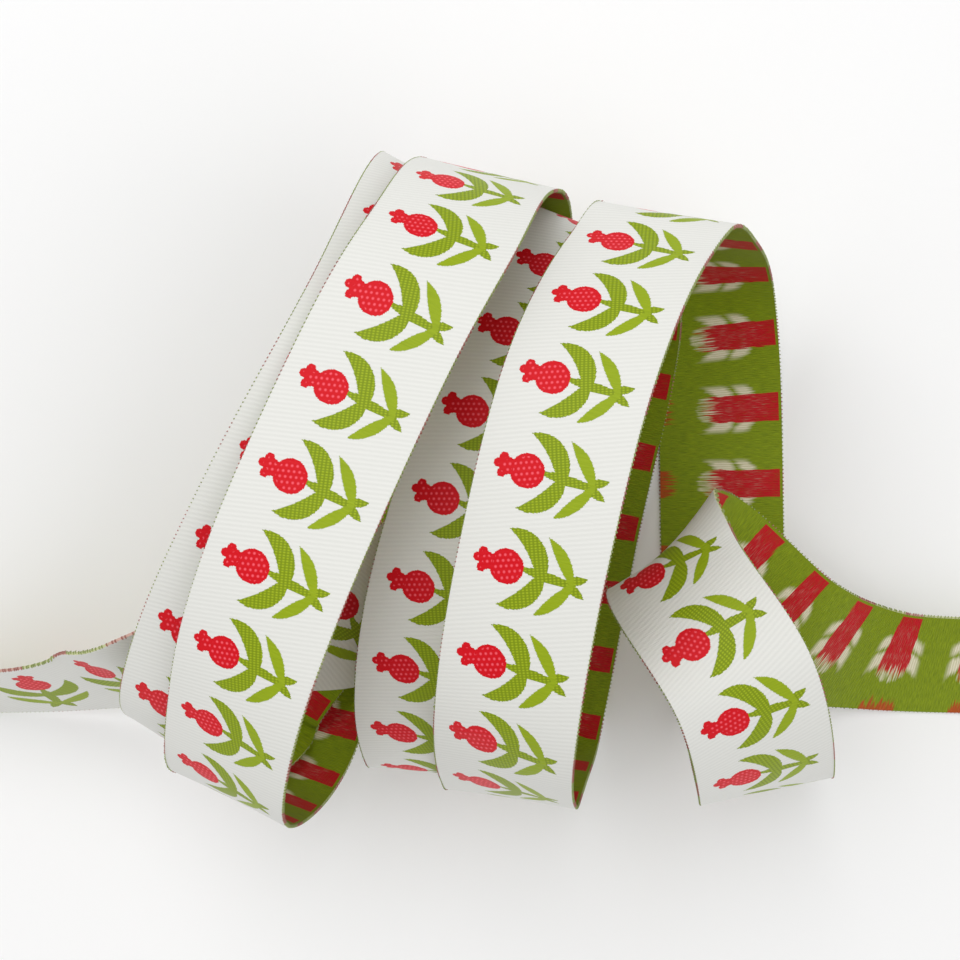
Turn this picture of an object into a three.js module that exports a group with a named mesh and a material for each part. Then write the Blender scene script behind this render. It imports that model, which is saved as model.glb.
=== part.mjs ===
// Jacquard ribbon: one cut length of woven ribbon, 22 mm wide, that stands on its
// selvedges' bends in a loose coil of four rounds, with a free end to each side.
// Millimetres, Z up; the table top it lies on is z = 0.
import * as THREE from "three";

const WIDTH = 22; // selvedge to selvedge
const THICK = 1; // sheet thickness
const STEPS = 10; // lengths of cloth from one row of the path to the next
const ACROSS = 4; // strips of cloth from selvedge to selvedge
const COLOUR = 0xe9e8e2; // undyed white warp and ground weft

// The path of the ribbon's middle, pass by pass in the order it was wound.
// x, y, z: where the middle of the ribbon is; turn: degrees that the line from the
// fruit-side selvedge to the leaf-side selvedge is swung clockwise from +X;
// tilt: degrees that line rises; full: how full the bend is at that row.
const PASSES = [
  {
    pass: "left end, leaning on its lower selvedge",
    rows: [
      { x: -98, y: -37, z: 10.4, turn: 90, tilt: -65, full: 1 },
      { x: -78, y: -36.5, z: 12.5, turn: 90, tilt: -65, full: 0.9 },
      { x: -65, y: -34.5, z: 17.9, turn: 88, tilt: -63, full: 1 },
      { x: -56.6, y: -31.6, z: 27.2, turn: 82, tilt: -64, full: 1 },
      { x: -49, y: -28.4, z: 33.4, turn: 70, tilt: -60, full: 1 },
    ],
  },
  {
    pass: "inner round, slack inside the others",
    rows: [
      { x: -39, y: -26, z: 35.5, turn: 62, tilt: -38, full: 1 },
      { x: -18, y: -21.5, z: 39, turn: 54, tilt: -14, full: 1 },
      { x: 2, y: -5, z: 43.5, turn: 44, tilt: 0, full: 1.1 },
      { x: 10, y: 15, z: 41, turn: 28, tilt: 6, full: 1.2 },
      { x: 8, y: 33.5, z: 27, turn: 18, tilt: 6, full: 1.3 },
      { x: -4, y: 7, z: 11, turn: 35, tilt: 4, full: 1.4 },
      { x: -34, y: -31.8, z: 12.8, turn: 32, tilt: 4, full: 1.1 },
      { x: -39.2, y: -40.4, z: 18.4, turn: 33, tilt: 6, full: 1 },
      { x: -47, y: -43.6, z: 33, turn: 31, tilt: 5, full: 1.1 },
    ],
  },
  {
    pass: "first round, up the left and down to the table",
    rows: [
      { x: -43.8, y: -31.5, z: 50, turn: 32, tilt: 8, full: 1.2 },
      { x: -31, y: -6, z: 61, turn: 26, tilt: 8, full: 1.1 },
      { x: -15, y: 24, z: 60, turn: 28, tilt: 8, full: 1.1 },
      { x: -6.2, y: 46.4, z: 38, turn: 30, tilt: 8, full: 1.3 },
      { x: -8.5, y: 37, z: 15, turn: 24, tilt: 4, full: 1 },
      { x: -14.5, y: 14, z: 4, turn: 19, tilt: 3, full: 1.1 },
      { x: -19.5, y: -2, z: 2.6, turn: 19, tilt: 5, full: 1 },
      { x: -26, y: -20, z: 4.8, turn: 20, tilt: 8, full: 1.1 },
      { x: -32.2, y: -44, z: 14, turn: 22, tilt: 12, full: 1.1 },
      { x: -38.8, y: -50.3, z: 37, turn: 20, tilt: 23, full: 1.4 },
    ],
  },
  {
    pass: "second round, laid over the first",
    rows: [
      { x: -36.8, y: -36, z: 56.5, turn: 26, tilt: 18, full: 1.1 },
      { x: -28.5, y: -13, z: 65.5, turn: 23, tilt: 10, full: 1 },
      { x: -13.5, y: 18, z: 64.5, turn: 24, tilt: 8, full: 1 },
      { x: -4.5, y: 35.5, z: 58.5, turn: 22, tilt: 10, full: 1.1 },
      { x: 0.8, y: 47.8, z: 40, turn: 17, tilt: 14, full: 1.3 },
      { x: 4.5, y: 44.5, z: 20, turn: 7, tilt: 8, full: 1.1 },
      { x: 3.5, y: 26.5, z: 3, turn: 4, tilt: 2, full: 1.3 },
      { x: -10.7, y: -26, z: 1, turn: 8, tilt: 0, full: 1.1 },
      { x: -8.1, y: -40, z: 7.6, turn: 8, tilt: 0, full: 1 },
      { x: -7.3, y: -47.7, z: 27.5, turn: 4, tilt: 4, full: 1.1 },
    ],
  },
  {
    pass: "third round, the lower one of the middle pair",
    rows: [
      { x: -9, y: -36.5, z: 43.5, turn: 16, tilt: 10, full: 1.1 },
      { x: -5.5, y: -15, z: 52, turn: 14, tilt: 12, full: 1 },
      { x: 3.5, y: 13, z: 51, turn: 18, tilt: 14, full: 1 },
      { x: 12.5, y: 31, z: 44, turn: 20, tilt: 16, full: 1.1 },
      { x: 19.8, y: 39.6, z: 34.5, turn: 22, tilt: 14, full: 1.1 },
      { x: 23.3, y: 31.5, z: 19.5, turn: 18, tilt: 8, full: 1 },
      { x: 23, y: 18, z: 5.5, turn: 16, tilt: 4, full: 1.1 },
      { x: 17.2, y: -10, z: 0.5, turn: 14, tilt: 0, full: 1.1 },
      { x: 11.2, y: -41, z: 1.6, turn: 10, tilt: 0, full: 1 },
      { x: 7, y: -49.6, z: 19, turn: 5, tilt: 8, full: 1 },
      { x: 4.7, y: -50.6, z: 33, turn: 6, tilt: 20, full: 1.2 },
    ],
  },
  {
    pass: "fourth round, the outer one at the right",
    rows: [
      { x: 3.5, y: -37.5, z: 57, turn: 15, tilt: 17, full: 1.1 },
      { x: 7, y: -13, z: 66, turn: 13, tilt: 18, full: 1 },
      { x: 14, y: 15, z: 65, turn: 14, tilt: 18, full: 1 },
      { x: 23.5, y: 34.5, z: 52.5, turn: 12, tilt: 21, full: 1.1 },
      { x: 31.8, y: 40.3, z: 38, turn: 11, tilt: 12, full: 1.3 },
      { x: 41.5, y: 25, z: 6, turn: 3, tilt: 3, full: 1.4 },
      { x: 44, y: -20, z: 0.5, turn: -2, tilt: 0, full: 1.2 },
      { x: 47, y: -41, z: 3.5, turn: -6, tilt: 0, full: 1.1 },
      { x: 46.9, y: -50.7, z: 28, turn: -12, tilt: 0, full: 1.3 },
    ],
  },
  {
    pass: "last flap, folded over, and the right end",
    rows: [
      { x: 39.8, y: -31.5, z: 51.5, turn: -22, tilt: 0, full: 1.2 },
      { x: 29.5, y: -13, z: 41, turn: -38, tilt: -2, full: 1.2 },
      { x: 37, y: -12.5, z: 26, turn: -60, tilt: 5, full: 1 },
      { x: 54, y: -26.5, z: 18, turn: -62, tilt: 15, full: 1 },
      { x: 70, y: -31.8, z: 8, turn: -78, tilt: 33, full: 1 },
      { x: 98, y: -33.2, z: 7, turn: -88, tilt: 37, full: 1 },
    ],
  },
];

// A smooth curve through two values, with the slopes the path has at both.
function hermite(a, slopeA, b, slopeB, f) {
  const f2 = f * f;
  const f3 = f2 * f;
  return a
    .clone()
    .multiplyScalar(2 * f3 - 3 * f2 + 1)
    .addScaledVector(slopeA, f3 - 2 * f2 + f)
    .addScaledVector(b, 3 * f2 - 2 * f3)
    .addScaledVector(slopeB, f3 - f2);
}

// The change from one row to the next, as the curve's slope at every row.
function slopes(values, full) {
  return values.map((value, i) => {
    const before = values[Math.max(i - 1, 0)];
    const after = values[Math.min(i + 1, values.length - 1)];
    const inside = i > 0 && i < values.length - 1;
    return after.clone().sub(before).multiplyScalar((inside ? 0.5 : 1) * full[i]);
  });
}

// The ribbon's middle line and its line from selvedge to selvedge, step by step.
function wind(rows) {
  const even = rows.map(() => 1);
  const middle = rows.map((row) => new THREE.Vector3(row.x, row.y, row.z));
  const across = rows.map((row) => {
    const turn = THREE.MathUtils.degToRad(row.turn);
    const tilt = THREE.MathUtils.degToRad(row.tilt);
    const flat = Math.cos(tilt);
    return new THREE.Vector3(Math.cos(turn) * flat, -Math.sin(turn) * flat, Math.sin(tilt));
  });
  const middleSlope = slopes(middle, rows.map((row) => row.full));
  const acrossSlope = slopes(across, even);
  const line = [];
  for (let i = 0; i < rows.length - 1; i += 1) {
    const last = i === rows.length - 2 ? STEPS : STEPS - 1;
    for (let j = 0; j <= last; j += 1) {
      const f = j / STEPS;
      line.push({
        at: hermite(middle[i], middleSlope[i], middle[i + 1], middleSlope[i + 1], f),
        side: hermite(across[i], acrossSlope[i], across[i + 1], acrossSlope[i + 1], f),
      });
    }
  }
  line.forEach((step, i) => {
    const before = line[Math.max(i - 1, 0)].at;
    const after = line[Math.min(i + 1, line.length - 1)].at;
    const run = after.clone().sub(before).normalize();
    step.side.addScaledVector(run, -step.side.dot(run)).normalize();
  });
  return line;
}

// The cloth's middle surface as a grid; where it lies on the table it lies flat.
function clothGrid(line) {
  return line.map((step) => {
    const points = [];
    for (let k = 0; k <= ACROSS; k += 1) {
      const point = step.at.clone().addScaledVector(step.side, (k / ACROSS - 0.5) * WIDTH);
      point.z = Math.max(point.z, THICK / 2);
      points.push(point);
    }
    return points;
  });
}

// The outward direction of the white face at one point of the grid.
function whiteFace(grid, i, k) {
  const before = grid[Math.max(i - 1, 0)][k];
  const after = grid[Math.min(i + 1, grid.length - 1)][k];
  const left = grid[i][Math.max(k - 1, 0)];
  const right = grid[i][Math.min(k + 1, ACROSS)];
  const along = after.clone().sub(before);
  return right.clone().sub(left).cross(along).normalize();
}

// The closed sheet: white face, back face, both selvedges and both cut ends.
function sheetGeometry(grid) {
  const columns = ACROSS + 1;
  const layer = grid.length * columns;
  const faces = [[], []];
  grid.forEach((points, i) => {
    points.forEach((point, k) => {
      const out = whiteFace(grid, i, k);
      [0.5, -0.5].forEach((half, face) => {
        const skin = point.clone().addScaledVector(out, half * THICK);
        faces[face].push(skin.x, skin.y, Math.max(skin.z, 0));
      });
    });
  });
  const index = [];
  const quad = (a, b, c, d) => index.push(a, b, c, a, c, d);
  const at = (i, k, face) => face * layer + i * columns + k;
  for (let i = 0; i < grid.length - 1; i += 1) {
    for (let k = 0; k < ACROSS; k += 1) {
      quad(at(i, k, 0), at(i, k + 1, 0), at(i + 1, k + 1, 0), at(i + 1, k, 0));
      quad(at(i, k, 1), at(i + 1, k, 1), at(i + 1, k + 1, 1), at(i, k + 1, 1));
    }
    quad(at(i, 0, 1), at(i, 0, 0), at(i + 1, 0, 0), at(i + 1, 0, 1));
    quad(at(i, ACROSS, 0), at(i, ACROSS, 1), at(i + 1, ACROSS, 1), at(i + 1, ACROSS, 0));
  }
  const end = grid.length - 1;
  for (let k = 0; k < ACROSS; k += 1) {
    quad(at(0, k, 1), at(0, k + 1, 1), at(0, k + 1, 0), at(0, k, 0));
    quad(at(end, k, 0), at(end, k + 1, 0), at(end, k + 1, 1), at(end, k, 1));
  }
  const geometry = new THREE.BufferGeometry();
  const position = new Float32Array([...faces[0], ...faces[1]]);
  geometry.setAttribute("position", new THREE.BufferAttribute(position, 3));
  geometry.setIndex(index);
  return geometry;
}

// The part stands with the middle of its footprint over the origin.
function centred(geometry) {
  geometry.computeBoundingBox();
  const middle = geometry.boundingBox.getCenter(new THREE.Vector3());
  geometry.translate(-middle.x, -middle.y, 0);
  geometry.computeVertexNormals();
  return geometry;
}

const rows = PASSES.flatMap((part) => part.rows);
const ribbon = new THREE.Mesh(
  centred(sheetGeometry(clothGrid(wind(rows)))),
  new THREE.MeshStandardMaterial({ color: COLOUR, roughness: 0.6, side: THREE.FrontSide }),
);
ribbon.name = "ribbon";

const part = new THREE.Group();
part.name = "jacquard_ribbon";
part.add(ribbon);

export default part;
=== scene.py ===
import math
from collections import namedtuple

import bpy
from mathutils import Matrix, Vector


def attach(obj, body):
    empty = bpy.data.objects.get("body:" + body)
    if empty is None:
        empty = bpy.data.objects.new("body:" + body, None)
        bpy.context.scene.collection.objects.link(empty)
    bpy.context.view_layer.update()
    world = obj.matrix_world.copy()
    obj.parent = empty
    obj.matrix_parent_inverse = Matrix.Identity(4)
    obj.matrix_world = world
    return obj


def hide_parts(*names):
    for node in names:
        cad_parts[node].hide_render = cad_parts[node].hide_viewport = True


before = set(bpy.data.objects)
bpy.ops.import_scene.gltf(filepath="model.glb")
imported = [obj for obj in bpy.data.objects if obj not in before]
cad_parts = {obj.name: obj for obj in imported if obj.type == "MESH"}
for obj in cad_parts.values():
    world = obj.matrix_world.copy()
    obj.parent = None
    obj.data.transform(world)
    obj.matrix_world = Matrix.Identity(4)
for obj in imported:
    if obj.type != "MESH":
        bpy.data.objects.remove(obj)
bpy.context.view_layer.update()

# How it is seen: from straight above, the way small trimmings are laid out and looked
# at on a table, with a macro lens a hand's length over the highest round.
MM = 0.001
UNDER_EYE = Vector((0.27, 1.05, 0.0))  # mm; the coil's path is measured from this point
EYE_HEIGHT = 306  # mm over the table
FOCAL_PX = 1699
PICTURE_PX = 960
SENSOR_MM = 36
eye = (UNDER_EYE + Vector((0, 0, EYE_HEIGHT))) * MM
bpy.ops.object.camera_add(location=eye, rotation=(0, 0, 0))
camera = bpy.context.object
camera.name = "camera"
camera.data.sensor_width = SENSOR_MM
camera.data.lens = SENSOR_MM * FOCAL_PX / PICTURE_PX
camera.data.clip_start = 0.01
bpy.context.scene.camera = camera

# The ribbon: one cut length of woven jacquard ribbon, polyester yarn, 22 mm from
# selvedge to selvedge and half a millimetre thick. It stands on its bends in a loose
# coil of four rounds round a slack inner one, with a free end to each side.
WIDTH = 22.0  # mm, selvedge to selvedge
REPEAT = 13.8  # mm of cloth from one woven figure to the next
THICK = 0.5  # mm
CLOTH_STEP = 1.15  # mm of cloth from one row of faces to the next
STRIPS = 24  # rows of faces from selvedge to selvedge

# Millimetres and degrees. x, y, z: the middle of the ribbon. turn: how far the line
# from the fruit-side selvedge to the leaf-side one is swung clockwise from +X. tilt:
# how far that line rises. full: how full the bend is. figure: the count of woven
# figures up to there, which says how much the cloth is eased along.
Row = namedtuple("Row", "x y z turn tilt full figure")
PASSES = {
    "left end, leaning on its lower selvedge": [
        Row(-98, -37, 10.4, 90, -65, 1, -1.25),
        Row(-78, -36.5, 12.5, 90, -65, 0.9, -0.15),
        Row(-65, -34.5, 17.9, 88, -63, 1, 0.60),
        Row(-56.6, -31.6, 27.2, 82, -64, 1, 1.35),
        Row(-49, -28.4, 33.4, 70, -60, 1, 2.00),
    ],
    "inner round, slack inside the others": [
        Row(-39, -26, 35.5, 62, -38, 1, 2.70),
        Row(-18, -21.5, 39, 54, -14, 1, 4.15),
        Row(2, -5, 43.5, 44, 0, 1.1, 6.10),
        Row(10, 15, 41, 28, 6, 1.2, 7.75),
        Row(8, 33.5, 27, 18, 6, 1.3, 9.60),
        Row(-4, 7, 11, 35, 4, 1.4, 12.15),
        Row(-34, -31.8, 12.8, 32, 4, 1.1, 15.80),
        Row(-39.2, -40.4, 18.4, 33, 6, 1, 16.70),
        Row(-47, -43.6, 33, 31, 5, 1.1, 18.00),
    ],
    "first round, up the left and down to the table": [
        Row(-43.8, -31.5, 50, 32, 8, 1.2, 19.40),
        Row(-31, -6, 61, 26, 8, 1.1, 21.45),
        Row(-15, 24, 60, 28, 8, 1.1, 23.85),
        Row(-6.2, 46.4, 38, 30, 8, 1.3, 26.15),
        Row(-8.5, 37, 15, 24, 4, 1, 28.00),
        Row(-14.5, 14, 4, 19, 3, 1.1, 29.80),
        Row(-19.5, -2, 2.6, 19, 5, 1, 31.00),
        Row(-26, -20, 4.8, 20, 8, 1.1, 32.30),
        Row(-32.2, -44, 14, 22, 12, 1.1, 34.35),
        Row(-38.8, -50.3, 37, 20, 23, 1.4, 37.10),
    ],
    "second round, laid over the first": [
        Row(-36.8, -36, 56.5, 26, 18, 1.1, 39.15),
        Row(-28.9, -13, 65.5, 23, 10, 1, 41.05),
        Row(-15.1, 18, 64.5, 24, 8, 1, 43.50),
        Row(-5.8, 35.5, 58.5, 22, 10, 1.1, 44.95),
        Row(0.8, 47.8, 40, 17, 14, 1.3, 46.75),
        Row(4.5, 44.5, 20, 7, 8, 1.1, 49.00),
        Row(3.5, 26.5, 3, 4, 2, 1.3, 51.10),
        Row(-10.7, -26, 1, 8, 0, 1.1, 54.95),
        Row(-8.1, -40, 7.6, 8, 0, 1, 56.15),
        Row(-7.3, -47.7, 27.5, 4, 4, 1.1, 57.65),
    ],
    "third round, the lower one of the middle pair": [
        Row(-9, -36.5, 43.5, 16, 10, 1.1, 59.40),
        Row(-5.5, -15, 52, 14, 12, 1, 61.15),
        Row(3.5, 13, 51, 18, 14, 1, 63.30),
        Row(12.5, 31, 44, 20, 16, 1.1, 64.90),
        Row(19.8, 39.6, 34.5, 22, 14, 1.1, 66.10),
        Row(23.3, 31.5, 19.5, 18, 8, 1, 67.50),
        Row(23, 18, 5.5, 16, 4, 1.1, 69.05),
        Row(17.2, -10, 0.5, 14, 0, 1.1, 71.25),
        Row(11.2, -41, 1.6, 10, 0, 1, 73.90),
        Row(7, -49.6, 19, 5, 8, 1, 75.50),
        Row(4.7, -50.6, 33, 6, 20, 1.2, 76.55),
    ],
    "fourth round, the outer one at the right": [
        Row(3.5, -37.5, 57, 15, 17, 1.1, 78.15),
        Row(7, -13, 66, 13, 18, 1, 80.00),
        Row(14, 15, 65, 14, 18, 1, 82.10),
        Row(23.5, 34.5, 52.5, 12, 21, 1.1, 83.95),
        Row(31.8, 40.3, 38, 11, 12, 1.3, 85.50),
        Row(41.5, 25, 6, 3, 3, 1.4, 88.00),
        Row(44, -20, 0.5, -2, 0, 1.2, 91.45),
        Row(47, -41, 3.5, -6, 0, 1.1, 93.10),
        Row(46.9, -50.7, 28, -12, 0, 1.3, 95.15),
    ],
    "last flap, folded over, and the right end": [
        Row(39.8, -31.5, 51.5, -22, 0, 1.2, 97.30),
        Row(29.5, -13, 41, -38, -2, 1.2, 99.05),
        Row(37, -12.5, 26, -60, 5, 1, 100.40),
        Row(54, -26.5, 18, -62, 15, 1, 102.40),
        Row(70, -31.8, 8, -78, 33, 1, 103.80),
        Row(98, -33.2, 7, -88, 37, 1, 105.80),
    ],
}
rows = [row for part in PASSES.values() for row in part]


def slopes(values, full):
    """The change from row to row, as the slope that the curve has at each of them."""
    last = len(values) - 1
    found = []
    for i in range(last + 1):
        change = values[min(i + 1, last)] - values[max(i - 1, 0)]
        found.append(change * full[i] * (0.5 if 0 < i < last else 1.0))
    return found


def between(values, slope, i, f):
    """The smooth curve from row i to the next, at the share f of the way."""
    a, b = values[i], values[i + 1]
    f2, f3 = f * f, f * f * f
    near = a * (2 * f3 - 3 * f2 + 1) + slope[i] * (f3 - 2 * f2 + f)
    return near + b * (3 * f2 - 2 * f3) + slope[i + 1] * (f3 - f2)


def across_line(row):
    """The direction from the fruit-side selvedge to the leaf-side one."""
    turn, tilt = math.radians(row.turn), math.radians(row.tilt)
    level = math.cos(tilt)
    return Vector((math.cos(turn) * level, -math.sin(turn) * level, math.sin(tilt)))


Step = namedtuple("Step", "at side figure")
middle = [Vector((row.x, row.y, row.z)) for row in rows]
middle_slope = slopes(middle, [row.full for row in rows])
sides = [across_line(row) for row in rows]
side_slope = slopes(sides, [1.0] * len(rows))
SAMPLES = 24  # short chords that measure the cloth from one row to the next
steps = []
for i in range(len(rows) - 1):
    chords = [between(middle, middle_slope, i, k / SAMPLES) for k in range(SAMPLES + 1)]
    run = [0.0]
    for a, b in zip(chords, chords[1:]):
        run.append(run[-1] + (b - a).length)
    count = max(2, round(run[-1] / CLOTH_STEP))
    for j in range(count + (i == len(rows) - 2)):
        f = j / count
        k = min(int(f * SAMPLES), SAMPLES - 1)
        share = (run[k] + (run[k + 1] - run[k]) * (f * SAMPLES - k)) / run[-1]
        figure = rows[i].figure + (rows[i + 1].figure - rows[i].figure) * share
        at = between(middle, middle_slope, i, f)
        steps.append(Step(at, between(sides, side_slope, i, f), figure))

# The cloth's middle surface, one row of points for each step, level on the table
# where the path runs along it.
SETTLE = 0.25  # mm that the thin cloth lies lower than a path drawn for thicker cloth
columns = STRIPS + 1
points = []
frames = []
for i, step in enumerate(steps):
    before, after = steps[max(i - 1, 0)].at, steps[min(i + 1, len(steps) - 1)].at
    run_way = (after - before).normalized()
    side = (step.side - run_way * step.side.dot(run_way)).normalized()
    frames.append((side, run_way))
    for k in range(columns):
        point = step.at + side * ((k / STRIPS - 0.5) * WIDTH)
        point.z = max(point.z - SETTLE, THICK / 2)
        points.append((point + UNDER_EYE) * MM)
faces = []
for i in range(len(steps) - 1):
    for k in range(STRIPS):
        corner = i * columns + k
        faces.append((corner, corner + 1, corner + columns + 1, corner + columns))
mesh = bpy.data.meshes.new("woven_ribbon")
mesh.from_pydata(points, [], faces)
weave_map = mesh.uv_layers.new(name="weave")
for loop in mesh.loops:
    i, k = divmod(loop.vertex_index, columns)
    weave_map.data[loop.index].uv = (k / STRIPS * WIDTH, steps[i].figure * REPEAT)
cloth = bpy.data.objects.new("woven_ribbon", mesh)
bpy.context.collection.objects.link(cloth)
bpy.ops.object.select_all(action="DESELECT")
cloth.select_set(True)
bpy.context.view_layer.objects.active = cloth
face_yarn = bpy.data.materials.new("polyester_jacquard_face_woven")
back_yarn = bpy.data.materials.new("polyester_weft_floats_back")
edge_yarn = bpy.data.materials.new("polyester_selvedge_turned_weft")
for yarn in (face_yarn, back_yarn, edge_yarn):
    cloth.data.materials.append(yarn)
wall = cloth.modifiers.new("thickness", "SOLIDIFY")
wall.thickness = THICK * MM
wall.offset = 0
wall.material_offset = 1  # the back's yarn
wall.material_offset_rim = 2  # the edges' yarn
bpy.ops.object.modifier_apply(modifier=wall.name)
for vertex in cloth.data.vertices:
    vertex.co.z = max(vertex.co.z, 0.0)
CLOTH_EDGE = math.radians(50)  # a bend in the surface past this shows as an edge
cloth.data.shade_smooth()
bpy.ops.object.shade_smooth_by_angle(angle=CLOTH_EDGE)
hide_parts("ribbon")
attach(cloth, "root")

# The white face: polyester yarn, woven as a satin ground with a faint fine twill, on
# which red and green figuring wefts float a little higher, with a soft low shine. The
# figure is a fruit with a lobed crown on a sprig of two pairs of leaves.


def linear(hex_colour):
    """An sRGB hex colour as linear red, green, blue and alpha."""
    found = []
    for start in (1, 3, 5):
        value = int(hex_colour[start : start + 2], 16) / 255
        found.append(value / 12.92 if value <= 0.04045 else ((value + 0.055) / 1.055) ** 2.4)
    return (*found, 1.0)


def add(tree, kind, *inputs, **settings):
    """Adds a node with its settings. Each input is a value, or a node or socket to link."""
    node = tree.nodes.new("ShaderNode" + kind)
    named = settings.pop("named", {})
    for name, value in settings.items():
        setattr(node, name, value)
    for socket, value in [*enumerate(inputs), *named.items()]:
        if isinstance(value, bpy.types.Node):
            value = next(output for output in value.outputs if output.enabled)
        if isinstance(value, bpy.types.NodeSocket):
            tree.links.new(value, node.inputs[socket])
        else:
            node.inputs[socket].default_value = value
    return node


FRUIT_AT = 7.4  # mm from the fruit-side selvedge to the middle of the fruit
PICK = (0.16, 0.14, 1.0)  # mm; the steps of the figures' edges, across and along
MIX_FIRST, MIX_SECOND, MIXED = 6, 7, 2  # a colour mix's two inputs and its output


def disc(tree, place, at, radius):
    """Millimetres inside a round patch."""
    apart = add(tree, "VectorMath", place, (*at, 0), operation="DISTANCE")
    return add(tree, "Math", radius, apart, operation="SUBTRACT")


def leaf(tree, place, tip, base, out, hollow):
    """Millimetres inside a leaf from tip to base, between an arc that bulges by out to
    its left and an arc that bulges the same way by hollow, or the other way if below 0."""
    tip, base = Vector((*tip, 0)), Vector((*base, 0))
    chord = base - tip
    left = Vector((-chord.y, chord.x, 0)).normalized()
    edges = []
    for bulge, keep_in in ((out, True), (hollow, hollow * out < 0)):
        radius = chord.length**2 / (8 * abs(bulge)) + abs(bulge) / 2
        toward = left if bulge > 0 else -left
        centre = (tip + base) / 2 + toward * (abs(bulge) - radius)
        apart = add(tree, "VectorMath", place, centre, operation="DISTANCE")
        pair = (radius, apart) if keep_in else (apart, radius)
        edges.append(add(tree, "Math", *pair, operation="SUBTRACT"))
    return add(tree, "Math", *edges, operation="MINIMUM")


def joined(tree, patches):
    """Patches seen as one."""
    whole = patches[0]
    for patch in patches[1:]:
        whole = add(tree, "Math", whole, patch, operation="MAXIMUM")
    return whole


def sprig(tree, place):
    """Millimetres inside the fruit, the large leaves with their stalk, the small leaves."""
    fruit = [disc(tree, place, (0, 0), 2.5), disc(tree, place, (0.35, -0.1), 2.35)]
    crown = [
        disc(tree, place, (-2.9, 0.1), 1.25),
        disc(tree, place, (-3.7, 1.25), 0.68),
        disc(tree, place, (-4.4, 0.25), 0.66),
        disc(tree, place, (-3.6, -1.0), 0.68),
    ]
    large = [
        leaf(tree, place, (-0.2, 5.3), (5.3, -1.7), 3.1, 0.75),
        leaf(tree, place, (0.0, -5.4), (5.5, 0.9), -2.7, -0.45),
        leaf(tree, place, (2.0, 0.2), (10.4, -0.5), 0.55, -0.55),
        leaf(tree, place, (8.6, -0.35), (11.9, 0.85), 0.5, -0.5),
        leaf(tree, place, (8.8, -0.2), (11.8, -1.7), 0.5, -0.5),
    ]
    small = [
        leaf(tree, place, (5.7, 5.1), (10.1, -0.6), 1.2, -0.3),
        leaf(tree, place, (5.6, -5.5), (10.1, -0.2), -1.1, 0.35),
    ]
    return joined(tree, fruit + crown), joined(tree, large), joined(tree, small)


def cloth_place(tree):
    """Across and along the cloth in mm, the weave's own place, and the place in a figure."""
    weave = add(tree, "UVMap", uv_map="weave")
    parts = add(tree, "SeparateXYZ", weave)
    across = add(tree, "Math", parts.outputs["X"], FRUIT_AT, operation="SUBTRACT")
    along = add(tree, "Math", parts.outputs["Y"], REPEAT / 2, -REPEAT / 2, operation="WRAP")
    place = add(tree, "CombineXYZ", across, along, 0.0)
    return weave, parts, place


TWILL_TURN = math.radians(17)  # the twill's lines, from the wefts toward the warp
TWILL_PITCH = 0.66  # mm from line to line
DASH_PITCH = TWILL_PITCH * 0.9  # from tie to tie in a large leaf, along the twill
RIB_PITCH = TWILL_PITCH * 0.58  # from rib to rib in a large leaf
DOT_PITCH = 0.8  # mm from one pale tie-down dot of the fruit to the next
DOT_EDGE = (0.1, 0.34)  # of the pitch, where a dot starts to fade and where it ends
DOT_STRENGTH = 0.95
FRUIT_RIM = 0.45  # mm of plain red round the dots


def wave(tree, value, pitch):
    """A smooth wave from 0 to 1 with that pitch."""
    turn = add(tree, "Math", value, math.tau / pitch, operation="MULTIPLY")
    curve = add(tree, "Math", turn, operation="SINE")
    return add(tree, "Math", curve, 0.5, 0.5, operation="MULTIPLY_ADD")


face_yarn.use_nodes = True
tree = face_yarn.node_tree
tree.nodes.clear()
weave, parts, place = cloth_place(tree)
stepped = add(tree, "VectorMath", place, PICK, operation="SNAP")
fruit, large, small = sprig(tree, stepped)
fruit_on = add(tree, "Math", fruit, 0.0, operation="GREATER_THAN")
FULLER = 0.16  # mm by which the wefts of a leaf spread past its drawn outline
large_on = add(tree, "Math", large, -FULLER, operation="GREATER_THAN")
small_on = add(tree, "Math", small, -FULLER, operation="GREATER_THAN")
slanted = add(tree, "VectorRotate", weave, named={"Angle": -TWILL_TURN}, rotation_type="Z_AXIS")
slant = add(tree, "SeparateXYZ", slanted)
line = wave(tree, slant.outputs["Y"], TWILL_PITCH)
dash = wave(tree, slant.outputs["X"], DASH_PITCH)
rib = wave(tree, slant.outputs["Y"], RIB_PITCH)
rows_of_dots = add(tree, "Math", slant.outputs["Y"], DOT_PITCH, operation="DIVIDE")
dot_row = add(tree, "Math", rows_of_dots, operation="ROUND")
half = add(tree, "Math", dot_row, 0.5, operation="MULTIPLY")
dot_x = add(tree, "Math", slant.outputs["X"], DOT_PITCH, operation="DIVIDE")
dot_x = add(tree, "Math", dot_x, half, operation="ADD")
off_x = add(tree, "Math", dot_x, add(tree, "Math", dot_x, operation="ROUND"), operation="SUBTRACT")
off_y = add(tree, "Math", rows_of_dots, dot_row, operation="SUBTRACT")
off = add(tree, "VectorMath", add(tree, "CombineXYZ", off_x, off_y, 0.0), operation="LENGTH")
dot = add(tree, "MapRange", off, *DOT_EDGE, DOT_STRENGTH, 0.0)
inside = add(tree, "Math", fruit, FRUIT_RIM, operation="GREATER_THAN")
dot_on = add(tree, "Math", dot, inside, operation="MULTIPLY")

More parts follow.
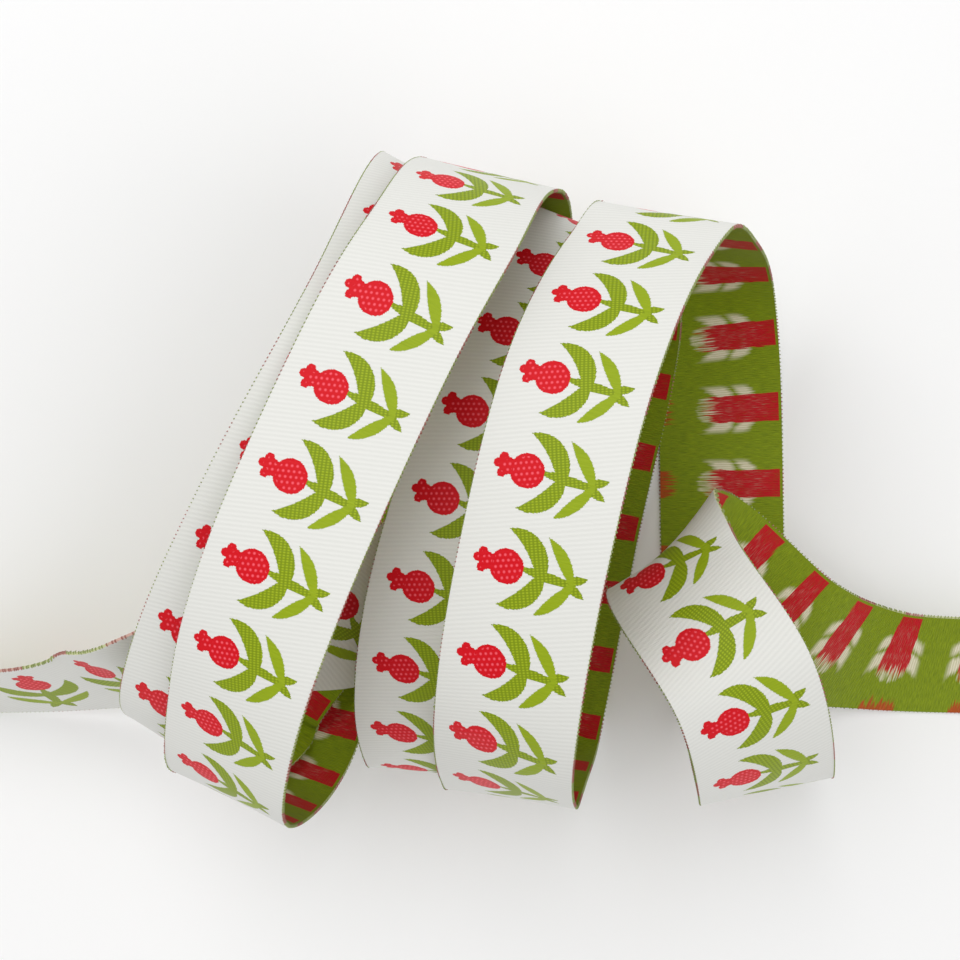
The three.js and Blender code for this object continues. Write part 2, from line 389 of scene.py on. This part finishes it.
FACE_STREAKS = (0.25, 5.0, 0.0)  # to a mm, across and along: the yarns' unevenness
streaks = add(tree, "VectorMath", weave, FACE_STREAKS, operation="MULTIPLY")
yarn = add(tree, "TexNoise", streaks, named={"Scale": 1.0, "Detail": 3.0}, noise_dimensions="2D")
speck = add(tree, "Math", rib, dash, operation="MULTIPLY")
shades = []
for by, dark, light in (
    (line, "#E1E1DC", "#E7E7E2"),  # the white ground
    (speck, "#7C9004", "#A9BD1E"),  # the large leaves, tied down in dots
    (yarn, "#869C08", "#9FB318"),  # the small leaves, smooth
    (dot_on, "#D60016", "#FA5F6E"),  # the fruit, tied down in dots
):
    named = {"Factor": by, MIX_FIRST: linear(dark), MIX_SECOND: linear(light)}
    shades.append(add(tree, "Mix", named=named, data_type="RGBA").outputs[MIXED])
colour = shades[0]
for patch_on, shade in zip((large_on, small_on, fruit_on), shades[1:]):
    named = {"Factor": patch_on, MIX_FIRST: colour, MIX_SECOND: shade}
    colour = add(tree, "Mix", named=named, data_type="RGBA").outputs[MIXED]

figure_on = joined(tree, [fruit_on, large_on, small_on])
FACE_RELIEF = 0.05 * MM
height = 0.0
for form, rise in ((line, 0.5), (figure_on, 0.9), (dot_on, -0.8), (yarn, 0.8)):
    height = add(tree, "Math", form, rise, height, operation="MULTIPLY_ADD")
bump = add(tree, "Bump", named={"Height": height, "Distance": FACE_RELIEF, "Strength": 0.7})
YARN_SHINE = {"Specular IOR Level": 0.2, "Sheen Weight": 0.06, "Sheen Roughness": 0.4}
named = {"Base Color": colour, "Roughness": 0.5, "Normal": bump, **YARN_SHINE}
add(tree, "OutputMaterial", add(tree, "BsdfPrincipled", named=named))

# The back: the same polyester wefts, floating where the face doesn't need them, so it is
# a little rougher: green all over, a red band in the rows of each fruit with frayed ends,
# and the cream ground behind the leaves, where the green is on the face.
BACK_STREAKS = (0.22, 3.2, 0.0)  # to a mm, across and along: bundles of floats
FLOAT_YARNS = (0.6, 9.0, 0.0)  # to a mm: single floats
FLOAT_ROWS = 0.42  # mm from one row of floats to the next
BESIDE_BAND = (3.7, 4.7)  # mm from a fruit's row, where the cream starts to fade and ends
SELVEDGE_BACK = 0.5  # mm at the leaf side that stay green
CREAM_SPOT = (1.6, 0.0)  # mm from the fruit's middle, where cream shows between the floats
SPOT_REACH = 3.6  # mm
BACK_RELIEF = 0.06 * MM
back_yarn.use_nodes = True
tree = back_yarn.node_tree
tree.nodes.clear()
weave, parts, place = cloth_place(tree)
_, large, small = sprig(tree, place)
local = add(tree, "SeparateXYZ", place)
streaks = add(tree, "VectorMath", weave, BACK_STREAKS, operation="MULTIPLY")
streak = add(tree, "TexNoise", streaks, named={"Scale": 1.0, "Detail": 3.0}, noise_dimensions="2D")
fine = add(tree, "VectorMath", weave, FLOAT_YARNS, operation="MULTIPLY")
single = add(tree, "TexNoise", fine, named={"Scale": 1.0, "Detail": 2.0}, noise_dimensions="2D")
lines = wave(tree, parts.outputs["Y"], FLOAT_ROWS)
leaves = joined(tree, [large, small])
ragged = add(tree, "Math", streak, 1.6, -0.8, operation="MULTIPLY_ADD")
leaf_depth = add(tree, "Math", leaves, ragged, operation="ADD")
cream_on = add(tree, "MapRange", leaf_depth, -0.75, 0.2, 0.0, 1.0)
off_middle = add(tree, "Math", local.outputs["Y"], operation="ABSOLUTE")
beside_band = add(tree, "MapRange", off_middle, *BESIDE_BAND, 1.0, 0.0)
cream_on = add(tree, "Math", cream_on, beside_band, operation="MULTIPLY")

# A band runs from past the fruit to the leaf-side selvedge, and a short mark lies at the
# fruit side. Both end where the streaks say, in mm.
half_band = add(tree, "Math", streak, 0.9, 2.05, operation="MULTIPLY_ADD")
in_rows = add(tree, "Math", off_middle, half_band, operation="LESS_THAN")
band_end = add(tree, "Math", streak, 7.0, -1.7, operation="MULTIPLY_ADD")
band = add(tree, "Math", local.outputs["X"], band_end, operation="SUBTRACT")
band = add(tree, "MapRange", band, -0.6, 0.8, 0.0, 1.0)
mark_end = add(tree, "Math", streak, -7.0, 5.4, operation="MULTIPLY_ADD")
mark = add(tree, "Math", mark_end, parts.outputs["X"], operation="SUBTRACT")
mark = add(tree, "MapRange", mark, -0.4, 0.8, 0.0, 0.75)
in_selvedge = add(tree, "Math", parts.outputs["X"], WIDTH - SELVEDGE_BACK, operation="LESS_THAN")
frayed = add(tree, "MapRange", single, 0.2, 0.5, 0.72, 1.0)
red_on = add(tree, "Math", band, mark, operation="MAXIMUM")
for limit in (in_rows, frayed, in_selvedge):
    red_on = add(tree, "Math", red_on, limit, operation="MULTIPLY")
feather = add(tree, "MapRange", disc(tree, place, CREAM_SPOT, SPOT_REACH), 0.0, 1.6, 0.0, 1.0)
feather = add(tree, "Math", feather, streak, operation="MULTIPLY")
feather = add(tree, "MapRange", feather, 0.34, 0.6, 0.0, 0.75)
shades = []
for by, dark, light in (
    (single, "#586C02", "#9CB010"),  # green floats
    (lines, "#D3CDA8", "#ECE6CE"),  # cream ground
    (single, "#A6000E", "#D80A20"),  # red floats
):
    named = {"Factor": by, MIX_FIRST: linear(dark), MIX_SECOND: linear(light)}
    shades.append(add(tree, "Mix", named=named, data_type="RGBA").outputs[MIXED])
colour, cream, crimson = shades
for patch_on, shade in ((cream_on, cream), (feather, cream), (red_on, crimson)):
    named = {"Factor": patch_on, MIX_FIRST: colour, MIX_SECOND: shade}
    colour = add(tree, "Mix", named=named, data_type="RGBA").outputs[MIXED]
height = add(tree, "Math", lines, single, operation="ADD")
bump = add(tree, "Bump", named={"Height": height, "Distance": BACK_RELIEF, "Strength": 0.7})
named = {"Base Color": colour, "Roughness": 0.55, "Normal": bump, **YARN_SHINE}
add(tree, "OutputMaterial", add(tree, "BsdfPrincipled", named=named))

# The selvedges' sides and the cut ends: polyester yarn seen end on, pale and matt, tinged
# green by the wefts that turn here, and red beside each fruit.
HALF_FRUIT = 2.5  # mm
EDGE_ROWS = 0.6  # mm from one turn of the wefts to the next
EDGE_RELIEF = 0.08 * MM
edge_yarn.use_nodes = True
tree = edge_yarn.node_tree
tree.nodes.clear()
_, parts, place = cloth_place(tree)
local = add(tree, "SeparateXYZ", place)
off_middle = add(tree, "Math", local.outputs["Y"], operation="ABSOLUTE")
in_rows = add(tree, "Math", off_middle, HALF_FRUIT, operation="LESS_THAN")
named = {"Factor": in_rows, MIX_FIRST: linear("#C9CC9C"), MIX_SECOND: linear("#CDA79A")}
colour = add(tree, "Mix", named=named, data_type="RGBA").outputs[MIXED]
turns = wave(tree, parts.outputs["Y"], EDGE_ROWS)
bump = add(tree, "Bump", named={"Height": turns, "Distance": EDGE_RELIEF, "Strength": 0.8})
named = {"Base Color": colour, "Roughness": 0.65, "Normal": bump}
add(tree, "OutputMaterial", add(tree, "BsdfPrincipled", named=named))

# The weft turns: at both selvedges the polyester wefts come out round the outermost warp
# as small loops, matt and darker than the cloth, which give the ribbon its fine toothed
# edge. They are green, and red beside each fruit.
TURN_PITCH = 0.69  # mm from one loop to the next
TURN_OUT = 0.2  # mm that a loop stands out from the cloth
TURN_YARN = 0.11  # mm, half the thickness of the doubled yarn
TURN_BENDS = 4  # straight pieces in a loop
TURN_SUNK = 0.04  # mm that its two legs start inside the cloth
TURN_LEAN = 0.08  # mm along the run for each radian of the loop
TURN_EDGE = math.radians(60)  # a sharper bend of its surface shows as an edge
TURN_RELIEF = 0.04 * MM
OFF_TABLE = 0.02  # mm that a loop stays above the table
YARN_SIDES = 4
FLECKS = 900.0  # to a metre: single fibres, drawn coarser than they are so that they show
BAND_SHARE = 0.18  # of a repeat, to each side of a fruit's middle, where the weft is red
travel = [0.0]
for a, b in zip(steps, steps[1:]):
    travel.append(travel[-1] + (b.at - a.at).length)
turn_green = bpy.data.materials.new("polyester_weft_turn_green")
turn_red = bpy.data.materials.new("polyester_weft_turn_red")
for yarn, dark, light in ((turn_green, "#6C7F22", "#B4BE84"), (turn_red, "#8A3A30", "#C48E84")):
    yarn.use_nodes = True
    tree = yarn.node_tree
    tree.nodes.clear()
    spot = add(tree, "TexCoord").outputs["Object"]
    fleck = add(tree, "TexNoise", spot, named={"Scale": FLECKS, "Detail": 2.0})
    named = {"Factor": fleck, MIX_FIRST: linear(dark), MIX_SECOND: linear(light)}
    colour = add(tree, "Mix", named=named, data_type="RGBA").outputs[MIXED]
    bump = add(tree, "Bump", named={"Height": fleck, "Distance": TURN_RELIEF, "Strength": 0.6})
    named = {"Base Color": colour, "Roughness": 0.6, "Normal": bump}
    add(tree, "OutputMaterial", add(tree, "BsdfPrincipled", named=named))
for selvedge, name in ((-1, "fruit_side_weft_turns"), (1, "leaf_side_weft_turns")):
    points = []
    faces = []
    yarn_slots = []  # for each face: 0 green, 1 red
    at_step = 0
    for number in range(int(travel[-1] / TURN_PITCH)):
        gone = (number + 0.5) * TURN_PITCH
        while travel[at_step + 1] < gone:
            at_step += 1
        f = (gone - travel[at_step]) / (travel[at_step + 1] - travel[at_step])
        here, ahead = steps[at_step], steps[at_step + 1]
        side, run_way = frames[at_step]
        out = side * selvedge
        face_way = side.cross(run_way)
        edge = here.at.lerp(ahead.at, f) + out * (WIDTH / 2)
        edge.z = max(edge.z - SETTLE, THICK / 2)
        figure = here.figure + (ahead.figure - here.figure) * f
        first = len(points)
        for bend in range(TURN_BENDS + 1):
            angle = math.pi * (bend / TURN_BENDS - 0.5)
            across_yarn = out * math.cos(angle) + face_way * math.sin(angle)
            centre = (
                edge
                + out * (math.cos(angle) * TURN_OUT - TURN_SUNK)
                + face_way * (math.sin(angle) * (THICK / 2))
                + run_way * (angle * TURN_LEAN)
            )
            for corner in range(YARN_SIDES):
                turn = math.tau * (corner + 0.5) / YARN_SIDES
                skin = centre + (across_yarn * math.cos(turn) + run_way * math.sin(turn)) * TURN_YARN
                skin.z = max(skin.z, OFF_TABLE)
                points.append((skin + UNDER_EYE) * MM)
        beside_fruit = abs(figure - round(figure)) < BAND_SHARE
        for bend in range(TURN_BENDS):
            for corner in range(YARN_SIDES):
                a = first + bend * YARN_SIDES + corner
                b = first + bend * YARN_SIDES + (corner + 1) % YARN_SIDES
                faces.append((a, b, b + YARN_SIDES, a + YARN_SIDES))
        last = first + TURN_BENDS * YARN_SIDES
        faces.append(tuple(range(first, first + YARN_SIDES))[::-1])
        faces.append(tuple(range(last, last + YARN_SIDES)))
        yarn_slots.extend([int(beside_fruit)] * (TURN_BENDS * YARN_SIDES + 2))
    mesh = bpy.data.meshes.new(name)
    mesh.from_pydata(points, [], faces)
    mesh.materials.append(turn_green)
    mesh.materials.append(turn_red)
    mesh.polygons.foreach_set("material_index", yarn_slots)
    turns_piece = bpy.data.objects.new(name, mesh)
    bpy.context.collection.objects.link(turns_piece)
    bpy.ops.object.select_all(action="DESELECT")
    turns_piece.select_set(True)
    bpy.context.view_layer.objects.active = turns_piece
    bpy.ops.object.mode_set(mode="EDIT")
    bpy.ops.mesh.select_all(action="SELECT")
    bpy.ops.mesh.normals_make_consistent(inside=False)
    bpy.ops.object.mode_set(mode="OBJECT")
    bpy.ops.object.shade_smooth_by_angle(angle=TURN_EDGE)
    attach(turns_piece, "root")

# The table: a plain pale sheet of paper board, uncoated, so it is matt and takes only a
# soft shadow.
FLOOR_SIZE = 3.0  # m
bpy.ops.object.select_all(action="DESELECT")
bpy.ops.mesh.primitive_plane_add(size=FLOOR_SIZE, location=(0, 0, 0))
floor = bpy.context.object
floor.name = "floor"
paper = bpy.data.materials.new("paper_board_matt")
paper.use_nodes = True
tree = paper.node_tree
tree.nodes.clear()
named = {"Base Color": linear("#FAFAFA"), "Roughness": 0.9, "Specular IOR Level": 0.2}
add(tree, "OutputMaterial", add(tree, "BsdfPrincipled", named=named))
floor.data.materials.append(paper)

# The light: a wide soft box to each side over the table, in metres and watts, and a
# white room all round.
for name, place_at, size, power in (
    ("key", (-0.25, 0.4, 0.8), 0.8, 3.9),
    ("fill", (0.55, -0.25, 0.7), 0.8, 1.4),
):
    bpy.ops.object.light_add(type="AREA", location=place_at)
    lamp = bpy.context.object
    lamp.name = name
    lamp.data.shape = "SQUARE"
    lamp.data.size = size
    lamp.data.energy = power
    lamp.rotation_euler = Vector(place_at).to_track_quat("Z", "Y").to_euler()
world = bpy.data.worlds.new("white_room")
bpy.context.scene.world = world
world.use_nodes = True
ROOM_STRENGTH = 0.61
room = world.node_tree.nodes["Background"]
room.inputs["Color"].default_value = (1.0, 1.0, 1.0, 1.0)
room.inputs["Strength"].default_value = ROOM_STRENGTH
bpy.context.scene.view_settings.view_transform = "Standard"
